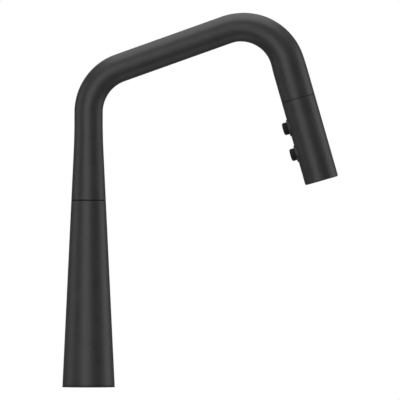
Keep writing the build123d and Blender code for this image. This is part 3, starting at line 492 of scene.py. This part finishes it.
thread_depth = 0.6  # as a share of the pitch
threads = None
for name in ("shank_thread", "cold_inlet", "hot_inlet", "mixed_outlet"):
    mount = mounts[name]
    x, y, z = mount["pos_m"]
    radius = mount["dims"]["r_mm"] * MM
    pitch = (1.5 if name == "shank_thread" else 1.0) * MM
    top = z + mount["dims"]["length_mm"] * MM
    groove = tapped(brass, x, y, radius, pitch, top) * (pitch * thread_depth)
    threads = groove if threads is None else threads + groove
brass.bump(threads + brass.cuts * cut_depth)
print("brass:", len(brass.nodes), "nodes")

# %% [markdown]
# ## The braided hose
# The hose has a cover of black nylon strands, braided over and under in two crossing spirals. The
# pattern is worked out from the place itself, as the angle round the hose and the length along
# it, so it keeps its real size however far the hose is drawn out. The distance from the column's
# axis stands in for X, because it stays the same when the spout turns. That leaves the angle
# without a sign, which is no loss: a braid of cosines looks the same both ways round.

# %% Braid
strands = 12
strand_pitch = 3.6 * MM
strand_depth = 0.22 * MM
hose_radius = 6.5 * MM


def braid(hose, angle, length):
    """Two crossing spirals of strands round a hose."""
    around = angle * strands
    ahead = length * (2 * pi / strand_pitch)
    over = (around + ahead).maths("COSINE").maths("MAXIMUM", (around - ahead).maths("COSINE"))
    fibres = hose.grain(0.12 * MM)
    # The colour follows the braid's height: darker in the hollows between the strands, as painted shade.
    hose.paint(
        colour=hose.mix(over.smooth(-0.1, 0.9), grey(0.006), grey(0.036)),
        roughness=0.42 + fibres * 0.15,
    )
    hose.bump(over * 0.9 + fibres * 0.1, strand_depth)


leg_hose = Finish("leg_hose_finish", specular_ior_level=0.5)
east, north, height = leg_hose.axes()
reach = (east * east + north * north).maths("SQRT") - seam.x
rise = height - seam.z
towards_column = (reach * to_buttons.x + rise * to_buttons.z) / hose_radius
braid(leg_hose, towards_column.maths("ARCCOSINE"), reach * down_leg.x + rise * down_leg.z)

column_hose = Finish("braided_hose_finish", specular_ior_level=0.5)
east, north, height = column_hose.axes()
hose_line = low("hose_base_run").y + hose_radius
braid(column_hose, (north - hose_line).maths("ARCTAN2", east), height)
print("braid of", strands, "strands each way")

# %% Finish for every solid that stays
for node, piece in frame["nodes"].items():
    finish = bpy.data.materials[slot_of[node] + "_finish"]
    for slot in piece.material_slots:
        slot.material = finish
print("finished", len(frame["nodes"]), "solids")

# %% [markdown]
# ## The lower column
# The foot of the column is a turned tapering shell. Its upper edge stops short of the turning
# cone, so that the joint shows as one dark line. Its lower edge sits on the gasket, and a shallow
# rebate is turned into it, which the gasket's lip fills. The edges are barely rounded.

# %% Lower column
shell_wall = 2.0 * MM
split_round = 0.15 * MM
rebate_height = 0.7 * MM
rebate_depth = 1.0 * MM
rebate_round = 0.1 * MM
shell_top = high("body_shell").z
from_deck = straight(Vector((0, 0, 0)), up, Vector((1, 0, 0)))


def cone_radius(height):
    """Radius of the column's cone at a height."""
    return foot_radius - cone_slope * (height - foot_height)


rebate_top = foot_height + rebate_height
rebate_wall = cone_radius(foot_height) - rebate_depth
column = soften(
    (rebate_wall, foot_height),
    (rebate_wall, rebate_top),
    (cone_radius(rebate_top), rebate_top, rebate_round),
    (cone_radius(shell_top), shell_top, split_round),
    (cone_radius(shell_top) - shell_wall, shell_top),
    (cone_radius(foot_height) - shell_wall, foot_height),
)
lower_column = finish_mesh("lower_column", *wrap(column, from_deck, around=128))
hand_over(lower_column, "body_shell")

# %% [markdown]
# ## The gasket
# A moulded ring of harder rubber shows as a slightly wider line under the column. Its outer face
# is nearly as light as the coat. A thin lip stands up from it and fills the column's rebate. The
# lip is painted almost black, as painted shade of the joint between gasket and column, so the
# finish changes with the height above the deck.

# %% Finish of the gasket
gasket_top = high("base_gasket").z
foot_rubber = Finish("foot_rubber_finish", specular_ior_level=0.3)
fine = foot_rubber.grain(0.12 * MM, detail=3)
# From the gasket's top upwards the colour is almost black: painted shade in the joint under the column.
painted_joint_shade = foot_rubber.axes()[2].smooth(gasket_top, gasket_top + 0.05 * MM)
foot_rubber.paint(
    colour=foot_rubber.mix(painted_joint_shade, grey(0.042), grey(0.003)),
    roughness=0.48 + fine * 0.08,
)
foot_rubber.bump(fine, 0.010 * MM)
print("gasket finish:", len(foot_rubber.nodes), "nodes")

# %% Gasket
gasket_radius = high("base_gasket").x
gasket_land = 4.0 * MM
gasket_bore = gasket_radius - gasket_land
lip_inset = 0.25 * MM
lip_radius = cone_radius(rebate_top) - lip_inset
gasket = soften(
    (gasket_radius, 0, 0.3 * MM),
    (gasket_radius, gasket_top, 0.1 * MM),
    (lip_radius, gasket_top),
    (lip_radius, rebate_top + meeting),
    (rebate_wall, rebate_top + meeting),
    (rebate_wall, gasket_top),
    (gasket_bore, gasket_top),
    (gasket_bore, 0, 0.2 * MM),
)
foot_ring = finish_mesh("foot_gasket", *wrap(gasket, from_deck, around=128))
hand_over(foot_ring, "base_gasket", finish=foot_rubber.material)

# %% [markdown]
# ## The spout
# The upper cone, the tube, the two bends and the leg are one piece. Distance is measured along
# its middle line, and up the column it is simply the height. The arm's length isn't written down:
# the bends must touch both the column and the leg, which fixes it. Each end of the spout turns
# against a dark ring with a twentieth of a millimetre of play. The background would show through
# as a bright hairline, so both ends are made to meet their rings.

# %% The spout's middle line
lean = atan2(down_leg.x, -down_leg.z)
first_turn = pi / 2 - arm_rise
second_turn = arm_rise + pi / 2 - lean
arm_way = Vector((cos(arm_rise), 0, sin(arm_rise)))
first_centre = Vector((bend_radius, 0, first_bend_height))
arm_start = first_centre + Vector((-sin(arm_rise), 0, cos(arm_rise))) * bend_radius
square_to_leg = Vector((down_leg.z, 0, -down_leg.x))
corner_share = (seam - arm_start).dot(square_to_leg) / arm_way.dot(square_to_leg)
corner = arm_start + arm_way * corner_share
arm_length = corner_share - bend_radius * tan(second_turn / 2)
arm_end = arm_start + arm_way * arm_length
second_centre = arm_end + Vector((sin(arm_rise), 0, -cos(arm_rise))) * bend_radius
leg_length = (seam - corner).length - bend_radius * tan(second_turn / 2)

bend_one_end = first_bend_height + bend_radius * first_turn
bend_two_start = bend_one_end + arm_length
bend_two_end = bend_two_start + bend_radius * second_turn
leg_end = bend_two_end + leg_length - seam_gap / 2 + turning_play + meeting
spout_foot = mouth_height - turning_play - meeting
print("arm", round(arm_length, 4), "leg", round(leg_length, 4), "middle line", round(leg_end, 4))


def middle_line(distance):
    """Place on the spout's middle line, with the two directions square to it."""
    if distance < first_bend_height:
        return Vector((0, 0, distance)), Vector((-1, 0, 0)), side
    if distance < bend_one_end:
        turn = (distance - first_bend_height) / bend_radius
        out = Vector((-cos(turn), 0, sin(turn)))
        return first_centre + out * bend_radius, out, side
    if distance < bend_two_start:
        out = Vector((-sin(arm_rise), 0, cos(arm_rise)))
        return arm_start + arm_way * (distance - bend_one_end), out, side
    turn = min((distance - bend_two_start) / bend_radius, second_turn)
    out = Vector((sin(turn - arm_rise), 0, cos(turn - arm_rise)))
    ahead = max(distance - bend_two_end, 0)
    return second_centre + out * bend_radius + down_leg * ahead, out, side


# %% The spout's radius
blend_reach = cone_blend_radius * tan(atan2(cone_slope, 1) / 2)
blend_low = cone_top_height - blend_reach
blend_high = cone_top_height + blend_reach


def spout_radius(distance):
    """Outer radius of the spout at a distance along its middle line."""
    if distance < blend_low:
        return cone_radius(distance)
    if distance < blend_high:
        short = blend_high - distance
        return tube_radius + cone_blend_radius - sqrt(cone_blend_radius**2 - short**2)
    grown = distance - bend_two_start - flare_start
    slope = (leg_radius - tube_radius) / (flare_length - flare_ease)
    if grown <= 0:
        return tube_radius
    if grown < flare_ease:
        return tube_radius + slope * grown**2 / (2 * flare_ease)
    if grown < flare_length - flare_ease:
        return tube_radius + slope * (grown - flare_ease / 2)
    if grown < flare_length:
        return leg_radius - slope * (flare_length - grown) ** 2 / (2 * flare_ease)
    return leg_radius


# %% Rings of the spout
def evenly(start, end, step):
    """Distances between two ends, about a step apart, without the ends."""
    count = max(2, round((end - start) / step))
    return [start + (end - start) * i / count for i in range(1, count)]


bend_step = bend_radius * radians(3)
stations = [
    *evenly(spout_foot, blend_low, 12 * MM),
    *evenly(blend_low, blend_high, 3 * MM),
    *evenly(blend_high, first_bend_height, 4 * MM),
    *evenly(first_bend_height, bend_one_end, bend_step),
    bend_one_end,
    *evenly(bend_one_end, bend_two_start, 8 * MM),
    bend_two_start,
    *evenly(bend_two_start, bend_two_end, bend_step),
    bend_two_end,
    *evenly(bend_two_end, leg_end, 4 * MM),
]
outside = [(spout_radius(s), s) for s in stations]
inside = [(spout_radius(s) - tube_wall, s) for s in reversed(stations)]
spout_outline = soften(
    (spout_radius(spout_foot) - tube_wall, spout_foot),
    (spout_radius(spout_foot), spout_foot, split_round),
    *outside,
    (leg_radius, leg_end, seam_round),
    (leg_radius - tube_wall, leg_end, seam_round),
    *inside,
)
spout = finish_mesh("spout", *wrap(spout_outline, middle_line, around=112))
hand_over(spout, "spout_tube")

# %% [markdown]
# ## The spray head
# The outer tube of the spray head is turned: a fine rounding at the seam, and an end face at the
# outlet that slopes back a little towards a softer outer edge. The face plate sits inside it, which
# leaves a shallow rim.

# %% Spray head
down_head = straight(seam, down_leg, to_buttons)
head_length = (outlet - seam).dot(down_leg)
head_wall = 2.0 * MM
head_end_round = 1.3 * MM
head_end_slope = 0.5 * MM
head_bore_round = 0.1 * MM
head_outline = soften(
    (leg_radius, seam_gap / 2, seam_round),
    (leg_radius, head_length - head_end_slope, head_end_round),
    (leg_radius - head_wall, head_length, head_bore_round),
    (leg_radius - head_wall, seam_gap / 2, edge_round),
)
hand_over(finish_mesh("spray_head_tube", *wrap(head_outline, down_head, around=112)), "head_shell")

# %% [markdown]
# ## The face of the spray head
# The plate in the outlet end is moulded, with two rings of soft jets that come through it and an
# aerator in the middle. The jets are silicone, so that lime can be rubbed off them: each is a
# small nub with a rounded rim round its hole. They are one moulding in fact, a pad behind the
# plate.

# %% Jets
pad_top = 79.0 * MM
pad_low = 83.0 * MM
face_low = head_length - 1.5 * MM
jet_tip = face_low + 0.6 * MM
jet_bore = 0.45 * MM
nub_radius = 0.95 * MM
aerator_radius = 8.6 * MM
pad_radius = leg_radius - head_wall - 0.4 * MM
pad_bore = aerator_radius + 0.1 * MM
nub_root = pad_low - 0.5 * MM
outer_jets = pad_radius - 2.2 * MM
inner_jets = outer_jets - 2.5 * MM
outer_count = 20
inner_count = 16


def jet(ring_radius, turn):
    """One nub of the pad, at a radius and an angle round the head's axis."""
    place = seam + (to_buttons * cos(turn) + side * sin(turn)) * ring_radius
    outline = soften(
        (nub_radius, nub_root),
        (nub_radius, jet_tip, 0.25 * MM),
        (jet_bore, jet_tip, 0.15 * MM),
        (jet_bore, nub_root),
        steps=4,
    )
    return wrap(outline, straight(place, down_leg, to_buttons), around=20)


pad_outline = soften(
    (pad_bore, pad_top),
    (pad_radius, pad_top),
    (pad_radius, pad_low),
    (pad_bore, pad_low),
)
shapes = [wrap(pad_outline, down_head, around=72)]
shapes += [jet(inner_jets, 2 * pi * i / inner_count) for i in range(inner_count)]
shapes += [jet(outer_jets, 2 * pi * (i + 0.5) / outer_count) for i in range(outer_count)]
hand_over(finish_mesh("jet_pad", *joined(shapes)), "nozzle_pad")

# %% [markdown]
# ## Collars and buttons
# Two round push buttons stand out of the side that faces the column. Each comes through a collar
# that is let into the tube and stands about a millimetre proud. The button's face is very
# slightly crowned, as a piece of a large ball. A flat disc with a rounded rim would catch the
# light in a ring, and a crown spreads it.

# %% Collars
bezel_radius = 9.0 * MM
bezel_face = 18.95 * MM
bezel_depth = 6.35 * MM
bezel_back = bezel_face - bezel_depth
button_radius = 6.6 * MM
button_gap = 0.1 * MM
button_paths = []
for node in ("upper_spring", "lower_spring"):
    middle = (low(node) + high(node)) / 2
    across_head = (middle - seam).dot(down_leg)
    button_paths.append(straight(seam + down_leg * across_head, to_buttons, side))

collar_outline = soften(
    (bezel_radius, bezel_back),
    (bezel_radius, bezel_face, 0.4 * MM),
    (button_radius + button_gap, bezel_face, 0.2 * MM),
    (button_radius + button_gap, bezel_back),
)
collars = [wrap(collar_outline, path, around=72) for path in button_paths]
hand_over(finish_mesh("button_collars", *joined(collars)), "button_bezels")

# %% Buttons
button_face = 24.6 * MM
button_round = 1.8 * MM
button_back = bezel_back + 2.2 * MM
crown_radius = 38.0 * MM
crown_edge = 4.2 * MM
crown_steps = 8


def crown(radius):
    """Corner of the outline on the crowned face, at a radius."""
    return radius, button_face - crown_radius + sqrt(crown_radius**2 - radius**2)


button_outline = soften(
    (button_radius, button_back),
    (*crown(button_radius), button_round),
    *[crown(crown_edge * (1 - i / crown_steps)) for i in range(crown_steps + 1)],
    (0, button_back),
    steps=8,
)
buttons = {"spray_push_button": "upper_button", "pause_push_button": "lower_button"}
for path, (name, node) in zip(button_paths, buttons.items()):
    hand_over(finish_mesh(name, *wrap(button_outline, path, around=64)), node)

# %% [markdown]
# ## The handle
# The handle stands out of the column's side and is three turned pieces: a fixed bonnet with a
# dome, a hub whose hollow slides over the dome as the lever tilts, and a slim rod that stands up
# beside the column. The hub's hollow shares its centre with the dome.

# %% Bonnet
out_of_column = straight(handle_axis_point, side, up)
pivot_reach = pivot.y
bonnet_radius = (high("bonnet").z - low("bonnet").z) / 2
bonnet_start = low("bonnet").y
dome_radius = 17.6 * MM
dome_wall = 1.5 * MM
dome_opening = radians(37)


def dome(radius, from_angle, to_angle, steps):
    """Outline points on a dome about the lever's pivot, by angle from the handle's axis."""
    angles = [from_angle + (to_angle - from_angle) * i / steps for i in range(steps + 1)]
    return [(radius * sin(a), pivot_reach + radius * cos(a)) for a in angles]


dome_foot = atan2(bonnet_radius, sqrt(dome_radius**2 - bonnet_radius**2))
inner_dome = dome_radius - dome_wall
bonnet_bore = 14.3 * MM
inner_foot = atan2(bonnet_bore, sqrt(inner_dome**2 - bonnet_bore**2))
bonnet_outline = [
    (bonnet_bore, bonnet_start),
    (bonnet_radius, bonnet_start),
    (bonnet_radius, pivot_reach),
    *dome(dome_radius, dome_foot, dome_opening, 16),
    *dome(inner_dome, dome_opening, inner_foot, 12),
]
hand_over(finish_mesh("bonnet_dome", *wrap(bonnet_outline, out_of_column)), "bonnet")

# %% Hub
hub_radius = (high("handle_hub").z - low("handle_hub").z) / 2
hub_end = high("handle_hub").y
hub_start = low("handle_hub").y
hollow_radius = 18.0 * MM
rim_reach = hub_start - pivot_reach
hollow_edge = atan2(sqrt(hollow_radius**2 - rim_reach**2), rim_reach)
grip_radius = 3.05 * MM
grip_edge = atan2(grip_radius, sqrt(hollow_radius**2 - grip_radius**2))
grip_end = hub_end - 1.55 * MM
hub_outline = soften(
    (hub_radius, hub_start, 0.25 * MM),
    (hub_radius, hub_end, 1.6 * MM),
    (0, hub_end),
    (0, grip_end),
    (grip_radius, grip_end),
    *dome(hollow_radius, grip_edge, hollow_edge, 20),
    steps=8,
)
hand_over(finish_mesh("hub_cap", *wrap(hub_outline, out_of_column)), "handle_hub")

# %% Lever rod
lever_line = hub_end - 5.0 * MM
up_the_lever = straight(Vector((0, lever_line, pivot.z)), up, side)
lever_tip = high("lever_rod").z - pivot.z
lever_root_radius = 4.6 * MM
lever_tip_radius = 4.0 * MM
lever_start = hub_radius - 6 * MM
lever_tip_round = 3.2 * MM
lever_taper = (lever_root_radius - lever_tip_radius) / lever_tip
lever_rings = evenly(lever_start, lever_tip - 4 * MM, 8 * MM)
lever_outline = soften(
    (0, lever_start),
    (lever_root_radius - 0.1 * MM, lever_start),
    *[(lever_root_radius - lever_taper * s, s) for s in lever_rings],
    (lever_tip_radius, lever_tip, lever_tip_round),
    (0, lever_tip),
    steps=10,
)
hand_over(finish_mesh("lever", *wrap(lever_outline, up_the_lever, around=56)), "lever_rod")

# %% [markdown]
# ## The hose in the leg
# The last stretch of hose slides out of the leg when the spray head is pulled down. At rest it is
# a short stub. Its far end belongs to the spray head and its near end to the spout, so it is made
# with many rings.

# %% Hose stub
hose_bore = 4.0 * MM
hose_start = (low("hose_leg_run") + high("hose_leg_run")) / 2
stub_middle = (hose_start - seam).dot(down_leg)
stub_half = 8.3 * MM
stub_low = stub_middle - stub_half
stub_high = stub_middle + stub_half
stub_rings = 60
rings = [stub_low + (stub_high - stub_low) * i / stub_rings for i in range(stub_rings + 1)]
stub_outline = [(hose_radius, s) for s in rings] + [(hose_bore, s) for s in reversed(rings)]
hose_stub = finish_mesh("hose_in_leg", *wrap(stub_outline, down_head, around=48))
hand_over(hose_stub, "hose_leg_run", ride=False, finish=leg_hose.material)
seam + down_leg * stub_low
seam + down_leg * stub_high
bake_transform(hose_stub)

# %% [markdown]
# ## The studio
# The faucet stands on a plain pale floor in front of a plain pale background. A kitchen deck ends
# at the sink, and the spray head can be drawn down past its edge, so this floor is small: it
# carries the foot and leaves the way down clear. A black coat shows almost nothing but
# reflections, so the light is a few wide soft panels. The floor is kept out of the reflections
# and the background is dim in them, or the edges of the tube, which mirror what is far off to the
# side, would turn grey.

# %% Floor and background


def pale(name, brightness):
    """Even pale surface for the stage, clear from below so that the foot can be looked at."""
    material = bpy.data.materials.new(name)
    material.use_nodes = True
    nodes = material.node_tree.nodes
    nodes.clear()
    glow = nodes.new("ShaderNodeEmission")
    glow.inputs["Strength"].default_value = brightness
    matte = nodes.new("ShaderNodeBsdfDiffuse")
    matte.inputs["Color"].default_value = grey(0.85)
    both = nodes.new("ShaderNodeAddShader")
    side_seen = nodes.new("ShaderNodeNewGeometry")
    clear = nodes.new("ShaderNodeBsdfTransparent")
    from_below = nodes.new("ShaderNodeMixShader")
    output = nodes.new("ShaderNodeOutputMaterial")
    links = material.node_tree.links
    links.new(glow.outputs[0], both.inputs[0])
    links.new(matte.outputs[0], both.inputs[1])
    links.new(side_seen.outputs["Backfacing"], from_below.inputs["Fac"])
    links.new(both.outputs[0], from_below.inputs[1])
    links.new(clear.outputs[0], from_below.inputs[2])
    links.new(from_below.outputs[0], output.inputs[0])
    return material


floor_half = 0.1
floor_drop = 0.2 * MM
floor_mesh = bpy.data.meshes.new("floor")
signs = ((-1, -1), (1, -1), (1, 1), (-1, 1))
corners = [(x * floor_half, y * floor_half, -floor_drop) for x, y in signs]
floor_mesh.from_pydata(corners, [], [(0, 1, 2, 3)])
floor = bpy.data.objects.new("floor", floor_mesh)
bpy.context.scene.collection.objects.link(floor)
floor_mesh.materials.append(pale("pale_floor", 0.75))
floor.visible_glossy = False
floor.visible_diffuse = False
floor.visible_shadow = False

surround = 0.17
world = bpy.data.worlds.new("pale_background")
bpy.context.scene.world = world
world.use_nodes = True
sky = world.node_tree
ray = sky.nodes.new("ShaderNodeLightPath")
share = sky.nodes.new("ShaderNodeMapRange")
share.inputs["To Min"].default_value = surround
share.inputs["To Max"].default_value = 1.0
sky.links.new(ray.outputs["Is Camera Ray"], share.inputs["Value"])
sky.links.new(share.outputs["Result"], sky.nodes["Background"].inputs["Strength"])
sky.nodes["Background"].inputs["Color"].default_value = (1, 1, 1, 1)

# %% [markdown]
# ## Light panels
# Each panel has a direction, in degrees round the faucet from the camera's side and above the
# horizon, a width, a height and a power. A panel on the left and one on the right draw the long
# bands down the column, and a wide one near the camera lights its front. One above and one high
# behind light the top of the arm, and one below stands for the light that a pale deck throws up.
# A narrow one at the rear shows the handle from behind, and is too narrow to reach the outline
# that the camera sees.

# %% Panels
panel_distance = 1.6
panels = {
    "front": (-18, 5, 1.2, 1.6, 12),
    "right": (95, 5, 1.2, 1.6, 9.4),
    "left": (-90, 5, 0.9, 1.6, 4.5),
    "above": (0, 80, 2.0, 1.2, 18),
    "below": (0, -80, 2.0, 1.2, 5.7),
    "behind": (180, 62, 1.6, 1.0, 7),
    "rear": (182, 12, 0.5, 1.0, 3.5),
}
heart = (solid_low + solid_high) / 2
for name, (turn, climb, width, height, power) in panels.items():
    direction = Vector((
        sin(radians(turn)) * cos(radians(climb)),
        -cos(radians(turn)) * cos(radians(climb)),
        sin(radians(climb)),
    ))
    lamp = bpy.data.lights.new(name + "_panel", "AREA")
    lamp.shape = "RECTANGLE"
    lamp.size = width
    lamp.size_y = height
    lamp.energy = power
    panel = bpy.data.objects.new(name + "_panel", lamp)
    panel.location = heart + direction * panel_distance
    panel.rotation_mode = "QUATERNION"
    panel.rotation_quaternion = (-direction).to_track_quat("-Z", "Y")
    bpy.context.scene.collection.objects.link(panel)
    print(name, "panel", power, "W")

# %% [markdown]
# ## The camera
# The faucet is seen square from its side, through a very long lens, so that the tube keeps its
# width all the way along. The camera stands level, far away along -Y, and its frame is a little
# larger than the faucet.

# %% Camera
lens = 1200.0
sensor = 36.0
frame_width = 0.422
camera = bpy.data.cameras.new("long_lens")
camera.lens = lens
camera.sensor_width = sensor
camera.clip_end = 100
viewer = bpy.data.objects.new("long_lens", camera)
viewer.location = Vector((heart.x, -frame_width * lens / sensor, heart.z))
viewer.rotation_euler = (pi / 2, 0, 0)
bpy.context.scene.collection.objects.link(viewer)
bpy.context.scene.camera = viewer
bpy.context.scene.view_settings.view_transform = "Standard"
print("camera", round(-viewer.location.y, 2), "m away")
